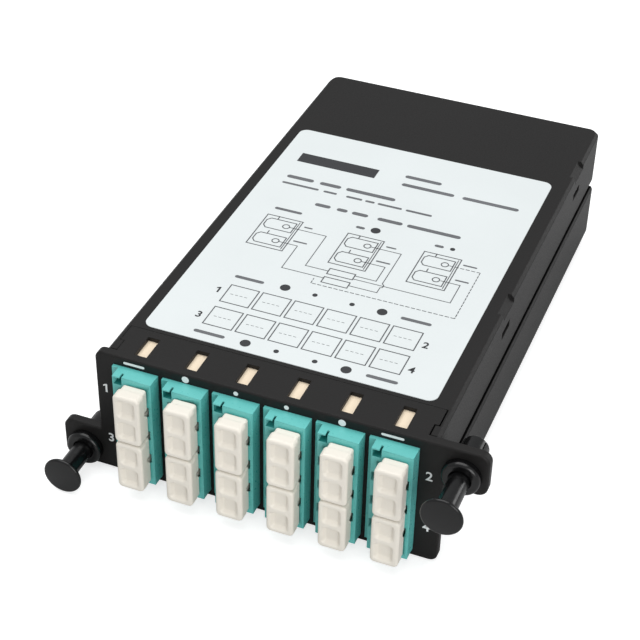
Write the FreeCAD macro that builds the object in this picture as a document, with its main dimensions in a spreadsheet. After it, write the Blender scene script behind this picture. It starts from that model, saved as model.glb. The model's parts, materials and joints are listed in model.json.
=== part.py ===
import FreeCAD, Part
import os
import Sketcher

# High-density fibre cassette, one rack unit high, six four-port LC adapters.
# Frame: X across the face plate, Y from the face plate to the rear, Z up, in mm.
# Inside each sub-part, y = 0 is the front face of the face plate, and in what an
# adapter carries, x = 0 is the adapter's station and z = 0 is half of its height.

SIZES = {
    # face plate and its two ears
    "front_y": -61.9,
    "plate_side": 4.5, "plate_height": 33.4, "plate_depth": 2.1, "plate_corner": 2.0,
    "plate_edge": 0.35,
    "ear_reach": 9.5, "ear_height": 11.0, "ear_corner": 2.4,
    "strip_wall": 1.0, "strip_wide_inset": 1.5, "strip_narrow_inset": 2.5, "jog_y": 5.8,
    "seam_y": 11.2, "seam_gap": 0.1,
    # cover
    "cover_step": 2.0, "cover_rear": 138.0, "cover_gap": 1.2, "front_gap": 0.2,
    "cover_wall": 1.9, "skin_wall": 1.8, "rear_wall": 1.8, "rear_corner": 3.0, "cover_edge": 0.8,
    "slot_drop": 6.7, "slot_height": 1.0, "slot_length": 6.0, "front_slot_y": 47.8,
    "rear_slot_y": 111.4, "notch_width": 1.6, "notch_drop": 2.0, "notch_length": 8.3,
    # base tray
    "tray_step": 0.5, "tray_rear_step": 0.6, "tray_wall": 1.7, "tray_top": 18.2,
    "tray_floor": 1.8, "rail_reach": 0.7, "rail_bottom": 3.8, "rail_rear_step": 4.4,
    "rail_edge": 0.5, "lip_wall": 1.4, "lip_depth": 4.2, "lip_rise": 3.2, "tongue_rise": 0.9,
    "tongue_side": 0.5, "nose_reach": 1.2, "nose_side": 0.4, "nose_play": 0.25,
    # adapters
    "pitch": 12.0, "adapter_drop": 0.1, "adapter_half": 14.45,
    "flange_right": 4.95, "flange_space": 1.15, "flange_front": -0.8,
    "block_left": -4.65, "block_right": 4.9, "block_front": -3.7,
    "shell_left": -3.4, "shell_right": 4.35, "shell_half": 13.05, "shell_rear": 22.0,
    "shell_gap": 0.1,
    "port_x": 1.3, "port_half": 2.45, "port_end": 8.0, "port_back": 13.0,
    "pair_height": 6.7, "port_step": 3.125,
    "latch_left": -3.1, "latch_half": 1.4, "latch_end": 1.5,
    "band_half_width": 4.2, "band_half": 1.25, "band_end": -1.6,
    "key_left": -4.1, "key_right": -2.1, "key_bottom": 12.3, "key_top": 14.1, "key_end": -1.3,
    "slit_width": 0.5, "slit_end": -2.2,
    "bore_r": 1.3, "sleeve_gap": 0.05, "sleeve_wall": 0.4, "sleeve_front": 5.2,
    "sleeve_rear": 15.8,
    "plug_gap": 0.3, "plug_front": 16.1, "plug_rear": 30.0, "boot_rear": 38.0, "boot_r": 1.6,
    # adapter clips and the windows over them
    "clip_leaf": 0.4, "clip_leaf_rear": 14.0, "clip_left": -2.4, "clip_right": 1.9,
    "clip_rear": 9.6, "clip_gap": 0.1,
    "window_left": -1.7, "window_right": 1.2, "window_rear": 8.9,
    # dust caps
    "leg_gap": 0.3, "leg_end": 4.6,
    "head_left": -2.0, "head_right": 4.15, "head_half": 6.55, "head_front": -8.4,
    "head_back": -5.6, "head_corner": 0.8,
    "neck_left": -1.4, "neck_right": 3.9, "neck_low": 0.7, "neck_high": 6.45, "neck_end": -4.0,
    "pocket_left": -0.8, "pocket_right": 3.0, "pocket_low": 0.8, "pocket_high": 5.2,
    "pocket_depth": 1.1,
    # push-pull fasteners
    "fastener_inset": 3.9, "fastener_rise": 4.7, "running_gap": 0.05,
    "knob_r": 4.6, "knob_front": -12.1, "knob_back": -10.9, "pin_r": 2.3, "pin_end": 3.3,
    "right_pull": 2.1, "washer_front": -2.1, "washer_r": 4.3, "shank_r": 2.7, "barrel_r": 3.0,
    "barrel_gap": 0.1, "barrel_rear": 9.6,
    "split_half": 0.3, "split_start": 3.4,
    # label
    "label_left_side": 3.6, "label_right_side": 4.5, "label_front_side": 1.1,
    "label_length": 93.9, "label_depth": 0.15, "label_corner": 2.2,
    # fibre management inside
    "holder_half": 26.0, "holder_front": 66.0, "holder_length": 56.0, "holder_wall": 1.2,
    "rib_height": 3.2, "rib_half": 0.6, "splitter_r": 1.75, "splitter_step": 10.0,
    "splitter_inset": 6.0, "splitter_length": 44.0, "splitter_gap": 0.05,
    "guide_x": 19.0, "guide_y": 52.0, "guide_r": 11.0, "guide_wall": 1.4, "guide_height": 13.2,
}

# Places worked out from the sizes above.
PLATE_HALF = "(3 * dims.pitch + dims.plate_side)"
EAR_HALF = "(%s + dims.ear_reach)" % PLATE_HALF
COVER_HALF = "(%s - dims.cover_step)" % PLATE_HALF
COVER_INNER = "(%s - dims.cover_wall)" % COVER_HALF
COVER_FRONT = "(dims.plate_depth + dims.front_gap)"
COVER_BOTTOM = "(dims.tray_top + dims.cover_gap)"
SKIN = "(dims.plate_height - dims.skin_wall)"
STRIP_WIDE = "(%s - dims.strip_wide_inset)" % COVER_HALF
STRIP_NARROW = "(%s - dims.strip_narrow_inset)" % COVER_HALF
SLOT_LOW = "(dims.plate_height - dims.slot_drop)"
SLOT_HIGH = "(%s + dims.slot_height)" % SLOT_LOW
SLOT_STARTS = ("dims.front_slot_y", "dims.rear_slot_y")
TRAY_HALF = "(%s - dims.tray_step)" % COVER_HALF
TRAY_INNER = "(%s - dims.tray_wall)" % TRAY_HALF
TRAY_REAR = "(dims.cover_rear - dims.tray_rear_step)"
RAIL_HALF = "(%s + dims.rail_reach)" % COVER_HALF
RAIL_REAR = "(dims.cover_rear - dims.rail_rear_step)"
LIP_INNER = "(%s - dims.lip_wall)" % TRAY_INNER
LIP_TOP = "(dims.tray_top + dims.lip_rise)"
ADAPTER_Z = "(dims.plate_height / 2 - dims.adapter_drop)"
LEFT_FASTENER_X = "-(%s + dims.fastener_inset)" % PLATE_HALF
RIGHT_FASTENER_X = "(%s + dims.fastener_inset)" % PLATE_HALF
LEFT_FASTENER_Z = "dims.fastener_rise"
RIGHT_FASTENER_Z = "(dims.plate_height - dims.ear_height + dims.fastener_rise)"
HOLDER_TOP = "(dims.tray_floor + dims.holder_wall)"

STATIONS = (-2.5, -1.5, -0.5, 0.5, 1.5, 2.5)
PORT_HEIGHTS = ("dims.pair_height + dims.port_step", "dims.pair_height - dims.port_step",
                "-dims.pair_height + dims.port_step", "-dims.pair_height - dims.port_step")
SLEEVE_SIDES = 6
ROD_SIDES = 12
GUIDE_SIDES = 14
SPLIT_TURNS = (45, 135)
TINY = 1e-6
PLANES = {"XY": ("XY_Plane", 1, False), "XZ": ("XZ_Plane", -1, True), "YZ": ("YZ_Plane", 1, False)}

doc = FreeCAD.newDocument("fibre_cassette")
sheet = doc.addObject("Spreadsheet::Sheet", "dims")
parts = []


def fill_sheet():
    for row, (alias, value) in enumerate(SIZES.items(), start=1):
        sheet.set("A%d" % row, alias)
        sheet.set("B%d" % row, str(value))
        sheet.setAlias("B%d" % row, alias)
    doc.recompute()


def minus(text):
    return "-(%s)" % text


def new_body(label, x="0", y="dims.front_y", z="0"):
    body = doc.addObject("PartDesign::Body", label)
    body.Label = label
    body.setExpression("Placement.Base.x", x)
    body.setExpression("Placement.Base.y", y)
    body.setExpression("Placement.Base.z", z)
    parts.append(body)
    return body


def new_sketch(body, plane, level):
    role, sign, _ = PLANES[plane]
    sketch = body.newObject("Sketcher::SketchObject", "Sketch")
    origin_plane = [item for item in body.Origin.OriginFeatures if item.Role == role][0]
    sketch.AttachmentSupport = [(origin_plane, "")]
    sketch.MapMode = "FlatFace"
    sketch.setExpression("AttachmentOffset.Base.z", level if sign > 0 else minus(level))
    return sketch


def value_of(item, text):
    result = item.evalExpression(text)
    return float(getattr(result, "Value", result))


def bind(sketch, rules):
    """Add the named distances of points from the origin, each tied to its expression."""
    start = sketch.ConstraintCount
    sketch.addConstraint([
        Sketcher.Constraint(kind, -1, 1, geometry, point, value_of(sketch, text))
        for kind, geometry, point, text in rules])
    for index, rule in enumerate(rules, start=start):
        sketch.setExpression("Constraints[%d]" % index, rule[3])


def polygon(sketch, corners):
    points = [FreeCAD.Vector(value_of(sketch, x), value_of(sketch, y), 0) for x, y in corners]
    first = sketch.GeometryCount
    count = len(points)
    sketch.addGeometry([
        Part.LineSegment(points[i], points[(i + 1) % count]) for i in range(count)])
    sketch.addConstraint([
        Sketcher.Constraint("Coincident", first + i, 2, first + (i + 1) % count, 1)
        for i in range(count)])
    rules = []
    for i, (x, y) in enumerate(corners):
        rules += [("DistanceX", first + i, 1, x), ("DistanceY", first + i, 1, y)]
    bind(sketch, rules)


def rectangle(sketch, left, right, low, high):
    polygon(sketch, [(left, low), (right, low), (right, high), (left, high)])


def circle(sketch, x, y, radius):
    centre = FreeCAD.Vector(value_of(sketch, x), value_of(sketch, y), 0)
    normal = FreeCAD.Vector(0, 0, 1)
    index = sketch.addGeometry(Part.Circle(centre, normal, value_of(sketch, radius)))
    bind(sketch, [("DistanceX", index, 3, x), ("DistanceY", index, 3, y)])
    size = sketch.addConstraint(Sketcher.Constraint("Radius", index, value_of(sketch, radius)))
    sketch.setExpression("Constraints[%d]" % size, radius)


def regular(x, y, radius, sides):
    """Corners of a regular outline that stands in for a small hidden round."""
    turns = [360 * (k + 0.5) / sides for k in range(sides)]
    return [("%s + (%s) * cos(%g)" % (x, radius, turn), "%s + (%s) * sin(%g)" % (y, radius, turn))
            for turn in turns]


def slanted(reach, half, turn):
    """Corners of a long slot through the origin, turned by an angle."""
    corners = ((minus(reach), minus(half)), (reach, minus(half)), (reach, half),
               (minus(reach), half))
    return [("(%s) * cos(%g) - (%s) * sin(%g)" % (u, turn, v, turn),
             "(%s) * sin(%g) + (%s) * cos(%g)" % (u, turn, v, turn)) for u, v in corners]


def volume_of(body):
    return body.Shape.Volume if body.Tip else 0.0


def extrude(body, sketch, plane, low, high, add):
    before = volume_of(body)
    kind = "PartDesign::Pad" if add else "PartDesign::Pocket"
    feature = body.newObject(kind, "Pad" if add else "Pocket")
    feature.Profile = sketch
    feature.setExpression("Length", "%s - (%s)" % (high, low))
    feature.Reversed = PLANES[plane][2] if add else not PLANES[plane][2]
    sketch.Visibility = False
    doc.recompute()
    change = body.Shape.Volume - before
    if (change > 0) != add:
        raise ValueError("%s changed the volume the wrong way in %s" % (feature.Name, body.Label))
    return feature


def blocks(body, plane, low, high, rectangles, add=True):
    sketch = new_sketch(body, plane, low)
    for sides in rectangles:
        rectangle(sketch, *sides)
    return extrude(body, sketch, plane, low, high, add)


def prisms(body, plane, low, high, outlines, add=True):
    sketch = new_sketch(body, plane, low)
    for corners in outlines:
        polygon(sketch, corners)
    return extrude(body, sketch, plane, low, high, add)


def discs(body, plane, low, high, circles, add=True):
    sketch = new_sketch(body, plane, low)
    for data in circles:
        circle(sketch, *data)
    return extrude(body, sketch, plane, low, high, add)


def revolve(body, corners):
    sketch = new_sketch(body, "XY", "0")
    polygon(sketch, corners)
    feature = body.newObject("PartDesign::Revolution", "Revolution")
    feature.Profile = sketch
    feature.ReferenceAxis = (sketch, ["V_Axis"])
    feature.Angle = 360
    sketch.Visibility = False
    doc.recompute()
    return feature


def dress(body, kind, test, size):
    base = body.Tip
    names = ["Edge%d" % (i + 1) for i, edge in enumerate(base.Shape.Edges) if test(edge)]
    if not names:
        raise ValueError("no edge to dress in %s" % body.Label)
    feature = body.newObject("PartDesign::" + kind, kind)
    feature.Base = (base, names)
    feature.setExpression("Radius" if kind == "Fillet" else "Size", size)
    doc.recompute()
    return feature


def along(edge, axis):
    box = edge.BoundBox
    spans = {"x": box.XLength, "y": box.YLength, "z": box.ZLength}
    return spans[axis] > TINY and all(v < TINY for k, v in spans.items() if k != axis)


def near(value, target):
    return abs(value - target) < 100 * TINY


def mirrored(inner, outer, low, high):
    return [(minus(outer), minus(inner), low, high), (inner, outer, low, high)]


def make_front_bezel():
    body = new_body("front_bezel")
    half, height = PLATE_HALF, "dims.plate_height"
    blocks(body, "XZ", "0", "dims.plate_depth", [(minus(half), half, "0", height)])
    blocks(body, "XZ", "0", "dims.plate_depth", [
        (minus(EAR_HALF), minus(half), "0", "dims.ear_height"),
        (half, EAR_HALF, "dims.plate_height - dims.ear_height", height)])
    plate, ear = value_of(body, PLATE_HALF), value_of(body, EAR_HALF)
    top, ear_top = SIZES["plate_height"], SIZES["ear_height"]
    plate_corners = [(-plate, top), (plate, 0.0)]
    ear_corners = [(-ear, 0.0), (-ear, ear_top), (ear, top), (ear, top - ear_top)]

    def at(corners):
        return lambda edge: along(edge, "y") and any(
            near(edge.BoundBox.Center.x, x) and near(edge.BoundBox.Center.z, z)
            for x, z in corners)

    dress(body, "Fillet", at(plate_corners), "dims.plate_corner")
    dress(body, "Fillet", at(ear_corners), "dims.ear_corner")
    dress(body, "Chamfer", lambda edge: edge.BoundBox.YMax < TINY, "dims.plate_edge")
    under = "dims.plate_height - dims.strip_wall"
    blocks(body, "XY", under, height, [
        (minus(STRIP_NARROW), STRIP_NARROW, "dims.plate_depth", "dims.jog_y")])
    blocks(body, "XY", under, height, [
        (minus(STRIP_WIDE), STRIP_WIDE, "dims.jog_y", "dims.seam_y - dims.seam_gap")])
    blocks(body, "XY", under, height, [
        ("%s * dims.pitch + dims.window_left" % k, "%s * dims.pitch + dims.window_right" % k,
         "dims.plate_depth", "dims.window_rear") for k in STATIONS], add=False)
    blocks(body, "XZ", "0", "dims.plate_depth", [
        ("%s * dims.pitch + dims.shell_left - dims.shell_gap" % k,
         "%s * dims.pitch + dims.shell_right + dims.shell_gap" % k,
         "%s - dims.shell_half - dims.shell_gap" % ADAPTER_Z,
         "%s + dims.shell_half + dims.shell_gap" % ADAPTER_Z)
        for k in STATIONS], add=False)
    hole = "dims.shank_r + dims.running_gap"
    discs(body, "XZ", "0", "dims.plate_depth", [
        (LEFT_FASTENER_X, LEFT_FASTENER_Z, hole),
        (RIGHT_FASTENER_X, RIGHT_FASTENER_Z, hole)], add=False)


def make_top_cover():
    body = new_body("top_cover")
    half, high = COVER_HALF, "dims.plate_height"
    blocks(body, "XY", COVER_BOTTOM, high, [(minus(half), half, COVER_FRONT, "dims.cover_rear")])
    rear, top = SIZES["cover_rear"], SIZES["plate_height"]
    dress(body, "Fillet", lambda edge: along(edge, "z") and near(edge.BoundBox.YMax, rear),
          "dims.rear_corner")
    dress(body, "Chamfer", lambda edge: near(edge.BoundBox.ZMin, top) and not (
        along(edge, "x") and edge.BoundBox.YMax < rear / 2), "dims.cover_edge")
    blocks(body, "XY", COVER_BOTTOM, SKIN, [
        (minus(COVER_INNER), COVER_INNER, COVER_FRONT, "dims.cover_rear - dims.rear_wall")],
        add=False)
    narrow = "%s + dims.seam_gap" % STRIP_NARROW
    wide = "%s + dims.seam_gap" % STRIP_WIDE
    blocks(body, "XY", SKIN, high, [(minus(narrow), narrow, COVER_FRONT, "dims.jog_y")],
           add=False)
    blocks(body, "XY", SKIN, high, [
        (minus(wide), wide, "dims.jog_y - dims.seam_gap", "dims.seam_y")], add=False)
    blocks(body, "YZ", minus(half), half, [
        (start, "%s + dims.slot_length" % start, SLOT_LOW, SLOT_HIGH)
        for start in SLOT_STARTS], add=False)
    for start in SLOT_STARTS:
        prisms(body, "XZ", start, "%s + dims.notch_length" % start, [[
            (half, high), (half, "%s - dims.notch_drop" % high),
            ("%s - dims.notch_width" % half, high)]], add=False)


def make_base_tray():
    body = new_body("base_tray")
    half, top = TRAY_HALF, "dims.tray_top"
    blocks(body, "XY", "0", top, [(minus(half), half, COVER_FRONT, TRAY_REAR)])
    rear = value_of(body, TRAY_REAR)
    dress(body, "Fillet", lambda edge: along(edge, "z") and near(edge.BoundBox.YMax, rear),
          "dims.rear_corner")
    blocks(body, "XY", "dims.tray_floor", top, [
        (minus(TRAY_INNER), TRAY_INNER, COVER_FRONT, "%s - dims.tray_wall" % TRAY_REAR)],
        add=False)
    blocks(body, "XY", "dims.rail_bottom", top, mirrored(half, RAIL_HALF, COVER_FRONT, RAIL_REAR))
    rail_x = value_of(body, RAIL_HALF)
    dress(body, "Chamfer", lambda edge: near(abs(edge.BoundBox.Center.x), rail_x) and (
        along(edge, "y") or (along(edge, "z") and edge.BoundBox.YMax > rear / 2)),
        "dims.rail_edge")
    blocks(body, "XY", "dims.tray_top - dims.lip_depth", LIP_TOP,
           mirrored(LIP_INNER, TRAY_INNER, "dims.seam_y", RAIL_REAR))
    tongues = []
    noses = []
    for start in SLOT_STARTS:
        tongues += mirrored(LIP_INNER, TRAY_INNER, "%s - dims.tongue_side" % start,
                            "%s + dims.slot_length + dims.tongue_side" % start)
        noses += mirrored(TRAY_INNER, "%s + dims.nose_reach" % TRAY_INNER,
                          "%s + dims.nose_side" % start,
                          "%s + dims.slot_length - dims.nose_side" % start)
    blocks(body, "XY", LIP_TOP, "%s + dims.tongue_rise" % SLOT_HIGH, tongues)
    blocks(body, "XY", "%s + dims.nose_play" % SLOT_LOW, "%s - dims.nose_play" % SLOT_HIGH,
           noses)


def make_label():
    body = new_body("label")
    front = "dims.seam_y + dims.label_front_side"
    blocks(body, "XY", "dims.plate_height", "dims.plate_height + dims.label_depth", [
        ("dims.label_left_side - %s" % COVER_HALF, "%s - dims.label_right_side" % COVER_HALF,
         front, "%s + dims.label_length" % front)])
    dress(body, "Fillet", lambda edge: along(edge, "z"), "dims.label_corner")


def new_adapter_part(label, station):
    return new_body(label, x="%s * dims.pitch" % station, z=ADAPTER_Z)


def port_rectangles(half):
    return [("dims.port_x - (%s)" % half, "dims.port_x + %s" % half,
             "%s - (%s)" % (height, half), "%s + %s" % (height, half))
            for height in PORT_HEIGHTS]


def make_adapter(number, station):
    body = new_adapter_part("adapter_%d" % number, station)
    shell, half = "dims.shell_half", "dims.adapter_half"
    front = "dims.block_front"
    blocks(body, "XZ", "0", "dims.shell_rear", [
        ("dims.shell_left", "dims.shell_right", minus(shell), shell)])
    blocks(body, "XZ", "dims.flange_front", "0", [
        ("dims.flange_right + dims.flange_space - dims.pitch", "dims.flange_right",
         minus(half), half)])
    blocks(body, "XZ", front, "dims.flange_front", [
        ("dims.block_left", "dims.block_right", minus(half), half)])
    blocks(body, "XZ", front, "dims.port_end", port_rectangles("dims.port_half"), add=False)
    blocks(body, "XZ", "dims.port_back", "dims.shell_rear", port_rectangles("dims.port_half"),
           add=False)
    blocks(body, "XZ", front, "dims.latch_end", [
        ("dims.latch_left", "dims.port_x - dims.port_half",
         "%s - dims.latch_half" % height, "%s + dims.latch_half" % height)
        for height in PORT_HEIGHTS], add=False)
    blocks(body, "XZ", front, "dims.band_end", [
        (minus("dims.band_half_width"), "dims.band_half_width",
         "%s - dims.band_half" % z, "%s + dims.band_half" % z)
        for z in ("dims.pair_height", "0", "-dims.pair_height")], add=False)
    blocks(body, "XZ", front, "dims.key_end", [
        ("dims.key_left", "dims.key_right", "dims.key_bottom", "dims.key_top")], add=False)
    blocks(body, "XZ", front, "dims.slit_end", [
        ("dims.key_right - dims.slit_width", "dims.key_right", "dims.key_top", half)], add=False)
    for height in PORT_HEIGHTS:
        prisms(body, "XZ", "dims.port_end", "dims.port_back", [
            regular("dims.port_x", height, "dims.bore_r", SLEEVE_SIDES)], add=False)


def make_adapter_clip(number, station):
    body = new_adapter_part("adapter_clip_%d" % number, station)
    leaf_top = "dims.shell_half + dims.clip_leaf"
    front = "dims.plate_depth + dims.clip_gap"
    top = "dims.plate_height - %s - dims.strip_wall - dims.clip_gap" % ADAPTER_Z
    blocks(body, "XY", "dims.shell_half", leaf_top, [
        ("dims.shell_left", "dims.shell_right", front, "dims.clip_leaf_rear")])
    blocks(body, "XY", leaf_top, top, [
        ("dims.clip_left", "dims.clip_right", front, "dims.clip_rear")])


def make_sleeves(number, station):
    body = new_adapter_part("sleeves_%d" % number, station)
    outer = "dims.bore_r - dims.sleeve_gap"
    inner = "%s - dims.sleeve_wall" % outer
    for height in PORT_HEIGHTS:
        prisms(body, "XZ", "dims.sleeve_front", "dims.sleeve_rear", [
            regular("dims.port_x", height, radius, SLEEVE_SIDES) for radius in (outer, inner)])


def make_rear_plugs(number, station):
    body = new_adapter_part("rear_plugs_%d" % number, station)
    half = "dims.port_half - dims.plug_gap"
    blocks(body, "XZ", "dims.plug_front", "dims.plug_rear", port_rectangles(half))
    for height in PORT_HEIGHTS:
        prisms(body, "XZ", "dims.plug_rear", "dims.boot_rear", [
            regular("dims.port_x", height, "dims.boot_r", SLEEVE_SIDES)])


def make_dust_cap(label, station, pair):
    body = new_body(label, x="%s * dims.pitch" % station, z="%s + %s" % (ADAPTER_Z, pair))
    half = "dims.head_half"
    blocks(body, "XZ", "dims.head_front", "dims.head_back", [
        ("dims.head_left", "dims.head_right", minus(half), half)])
    dress(body, "Chamfer", lambda edge: along(edge, "y"), "dims.head_corner")
    low, high = "dims.neck_low", "dims.neck_high"
    blocks(body, "XZ", "dims.head_back", "dims.neck_end", [
        ("dims.neck_left", "dims.neck_right", minus(high), minus(low)),
        ("dims.neck_left", "dims.neck_right", low, high)])
    leg = "(dims.port_half - dims.leg_gap)"
    blocks(body, "XZ", "dims.neck_end", "dims.leg_end", [
        ("dims.port_x - %s" % leg, "dims.port_x + %s" % leg,
         "%s - %s" % (z, leg), "%s + %s" % (z, leg))
        for z in (minus("dims.port_step"), "dims.port_step")])
    low, high = "dims.pocket_low", "dims.pocket_high"
    blocks(body, "XZ", "dims.head_front", "dims.head_front + dims.pocket_depth", [
        ("dims.pocket_left", "dims.pocket_right", minus(high), minus(low)),
        ("dims.pocket_left", "dims.pocket_right", low, high)], add=False)


def make_plunger(label, x, z, pull):
    body = new_body(label, x=x, y="dims.front_y - %s" % pull, z=z)
    revolve(body, [
        ("0", "dims.knob_front"), ("dims.knob_r", "dims.knob_front"),
        ("dims.knob_r", "dims.knob_back"), ("dims.pin_r", "dims.knob_back"),
        ("dims.pin_r", "dims.pin_end"), ("0", "dims.pin_end")])


def make_grommet(label, x, z):
    body = new_body(label, x=x, z=z)
    bore = "dims.pin_r + dims.running_gap"
    front, rear = "dims.washer_front", "dims.barrel_rear"
    washer, shank, barrel = "dims.washer_r", "dims.shank_r", "dims.barrel_r"
    start = "dims.plate_depth + dims.barrel_gap"
    revolve(body, [
        (bore, front), (washer, front), (washer, "0"), (shank, "0"), (shank, start),
        (barrel, start), (barrel, rear), (bore, rear)])
    for turn in SPLIT_TURNS:
        prisms(body, "XZ", "dims.split_start", rear, [
            slanted("2 * %s" % barrel, "dims.split_half", turn)], add=False)


def make_splitter_holder():
    body = new_body("splitter_holder")
    half, front = "dims.holder_half", "dims.holder_front"
    rear = "dims.holder_front + dims.holder_length"
    blocks(body, "XY", "dims.tray_floor", HOLDER_TOP, [(minus(half), half, front, rear)])
    blocks(body, "XY", HOLDER_TOP, "%s + dims.rib_height" % HOLDER_TOP, [
        ("%d * dims.splitter_step - dims.rib_half" % k,
         "%d * dims.splitter_step + dims.rib_half" % k, front, rear) for k in (-2, -1, 0, 1, 2)])


def make_splitter(number, slot):
    body = new_body("splitter_%d" % number, x="%s * dims.splitter_step" % slot,
                    z="%s + dims.splitter_r + dims.splitter_gap" % HOLDER_TOP)
    front = "dims.holder_front + dims.splitter_inset"
    prisms(body, "XZ", front, "%s + dims.splitter_length" % front, [
        regular("0", "0", "dims.splitter_r", ROD_SIDES)])


def make_bend_guide(label, x):
    body = new_body(label)
    prisms(body, "XY", "dims.tray_floor", "dims.tray_floor + dims.guide_height", [
        regular(x, "dims.guide_y", radius, GUIDE_SIDES)
        for radius in ("dims.guide_r", "dims.guide_r - dims.guide_wall")])


def build_all():
    fill_sheet()
    make_front_bezel()
    make_top_cover()
    make_base_tray()
    make_label()
    for number, station in enumerate(STATIONS, start=1):
        make_adapter(number, station)
        make_adapter_clip(number, station)
        make_sleeves(number, station)
        make_rear_plugs(number, station)
        make_dust_cap("dust_cap_%d_upper" % number, station, "dims.pair_height")
        make_dust_cap("dust_cap_%d_lower" % number, station, "-dims.pair_height")
    make_grommet("grommet_left", LEFT_FASTENER_X, LEFT_FASTENER_Z)
    make_grommet("grommet_right", RIGHT_FASTENER_X, RIGHT_FASTENER_Z)
    make_plunger("plunger_left", LEFT_FASTENER_X, LEFT_FASTENER_Z, "0")
    make_plunger("plunger_right", RIGHT_FASTENER_X, RIGHT_FASTENER_Z, "dims.right_pull")
    make_splitter_holder()
    for number, slot in enumerate((-1.5, -0.5, 0.5, 1.5), start=1):
        make_splitter(number, slot)
    make_bend_guide("bend_guide_left", minus("dims.guide_x"))
    make_bend_guide("bend_guide_right", "dims.guide_x")


def check_document():
    doc.recompute()
    for item in doc.Objects:
        if "Invalid" in item.State or "Error" in item.State:
            raise ValueError("%s does not compute" % item.Label)
    for body in parts:
        if body.Shape.isNull() or not body.Shape.isValid():
            raise ValueError("%s has no valid shape" % body.Label)


def write_parts():
    os.makedirs("parts", exist_ok=True)
    for body in parts:
        body.Shape.exportStep("parts/%s.step" % body.Label)


build_all()
check_document()
write_parts()
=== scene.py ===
import json
import math

import bmesh
import bpy
from mathutils import Matrix, Vector


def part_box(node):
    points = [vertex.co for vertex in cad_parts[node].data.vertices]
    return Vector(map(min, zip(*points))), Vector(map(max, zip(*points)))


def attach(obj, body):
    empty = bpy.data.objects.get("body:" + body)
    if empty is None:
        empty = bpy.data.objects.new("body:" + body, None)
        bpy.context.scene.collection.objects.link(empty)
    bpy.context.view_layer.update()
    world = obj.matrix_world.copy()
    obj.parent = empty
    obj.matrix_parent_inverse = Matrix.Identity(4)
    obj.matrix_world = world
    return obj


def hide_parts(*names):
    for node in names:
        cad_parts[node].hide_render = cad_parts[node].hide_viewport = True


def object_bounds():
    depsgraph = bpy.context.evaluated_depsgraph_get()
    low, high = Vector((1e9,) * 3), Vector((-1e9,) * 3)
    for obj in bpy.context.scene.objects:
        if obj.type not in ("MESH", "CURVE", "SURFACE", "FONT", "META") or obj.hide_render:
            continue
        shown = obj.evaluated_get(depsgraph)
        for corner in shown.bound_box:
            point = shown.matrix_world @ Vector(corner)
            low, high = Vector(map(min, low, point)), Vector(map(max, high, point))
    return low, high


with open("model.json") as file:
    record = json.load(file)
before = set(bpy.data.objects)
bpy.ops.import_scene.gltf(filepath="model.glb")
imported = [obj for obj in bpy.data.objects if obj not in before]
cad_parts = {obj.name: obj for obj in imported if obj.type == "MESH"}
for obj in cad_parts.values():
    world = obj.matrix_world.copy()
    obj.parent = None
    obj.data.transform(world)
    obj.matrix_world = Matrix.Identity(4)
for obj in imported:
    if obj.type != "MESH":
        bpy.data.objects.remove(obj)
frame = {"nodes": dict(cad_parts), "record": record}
cad_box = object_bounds()

# Unless a comment says otherwise, lengths named in capitals are in mm, and MM turns them into
# the scene's metres. X runs to the object's right, Y from the front to the rear, Z up.
MM = 0.001


def link_object(name, data):
    item = bpy.data.objects.new(name, data)
    bpy.context.scene.collection.objects.link(item)
    return item


def box_mm(node):
    low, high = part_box(node)
    return low / MM, high / MM


# ---------------------------------------------------------------- materials

NOISE_RANGE = (0.3, 0.7)
TONE_SCALE = 45.0
TONE_DETAIL = 3.0
GRAIN_DETAIL = 3.0
GRAIN_ROUGHNESS = 0.6
GRAIN_HEIGHT = 0.05
GLOSS_CHANGE = 0.07
BEVEL_SAMPLES = 4
STEEL_SCALE = 900.0
STEEL_DETAIL = 4.0
STEEL_TONES = (0.85, 1.05)
STEEL_ROUGHNESS = (0.22, 0.38)


def new_material(name):
    material = bpy.data.materials.new(name)
    material.use_nodes = True
    tree = material.node_tree
    return material, tree, tree.nodes["Principled BSDF"]


def noise(tree, scale, detail, roughness=0.5):
    coordinates = tree.nodes.new("ShaderNodeTexCoord")
    node = tree.nodes.new("ShaderNodeTexNoise")
    node.inputs["Scale"].default_value = scale
    node.inputs["Detail"].default_value = detail
    node.inputs["Roughness"].default_value = roughness
    tree.links.new(coordinates.outputs["Object"], node.inputs["Vector"])
    return node.outputs["Fac"]


def spread(tree, value, low, high):
    """Stretches a noise's usual range over low to high."""
    node = tree.nodes.new("ShaderNodeMapRange")
    node.inputs["From Min"].default_value, node.inputs["From Max"].default_value = NOISE_RANGE
    node.inputs["To Min"].default_value = low
    node.inputs["To Max"].default_value = high
    tree.links.new(value, node.inputs["Value"])
    return node.outputs["Result"]


def tinted(tree, colour, factor):
    """A colour made lighter or darker by a factor."""
    node = tree.nodes.new("ShaderNodeMix")
    node.data_type = "RGBA"
    node.blend_type = "MULTIPLY"
    node.inputs["Factor"].default_value = 1.0
    node.inputs["A"].default_value = (*colour, 1.0)
    grey = tree.nodes.new("ShaderNodeCombineColor")
    for channel in ("Red", "Green", "Blue"):
        tree.links.new(factor, grey.inputs[channel])
    tree.links.new(grey.outputs["Color"], node.inputs["B"])
    return node.outputs["Result"]


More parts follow.
